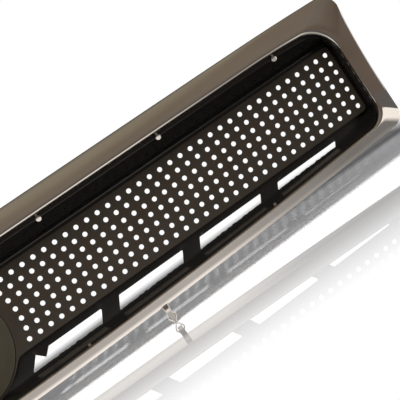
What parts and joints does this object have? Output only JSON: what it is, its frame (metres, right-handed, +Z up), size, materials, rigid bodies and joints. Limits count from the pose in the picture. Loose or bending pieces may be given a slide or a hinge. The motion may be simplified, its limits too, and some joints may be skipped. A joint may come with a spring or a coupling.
{
  "type": "front grille",
  "caption": "Wide bowed vehicle front grille: bright surround, black tray with slanted slots, perforated panel, blank round badge seat.",
  "frame": {"origin": "centre of the badge seat's flat front face", "axes": "+X along the grille's width, to the right seen from the front; -Y out of the front, towards the viewer; +Z up"},
  "size_m": [1.0324, 0.0871, 0.1881],
  "materials": {
    "bright_trim": "bright plated plastic",
    "tray_black": "gloss moulded",
    "panel_satin": "satin moulded, fine grain",
    "seat_satin": "satin moulded",
    "screw_zinc": "zinc plated",
    "spring_steel": "phosphated spring steel",
    "sleeve_steel": "zinc plated",
    "clip_steel": "zinc plated spring steel"
  },
  "bodies": {
    "root": {"surround_shell": "bright_trim", "insert_tray": "tray_black", "mesh_panel": "panel_satin", "badge_seat": "seat_satin", "tray_screws_top": "screw_zinc", "tray_screws_foot": "screw_zinc", "tray_screws_ends": "screw_zinc", "panel_push_nuts_top": "spring_steel", "panel_push_nuts_foot": "spring_steel", "badge_push_nuts": "spring_steel", "ear_sleeves_left": "sleeve_steel", "ear_sleeves_right": "sleeve_steel", "spring_clip_left": "clip_steel", "spring_clip_right": "clip_steel"}
  },
  "joints": []
}
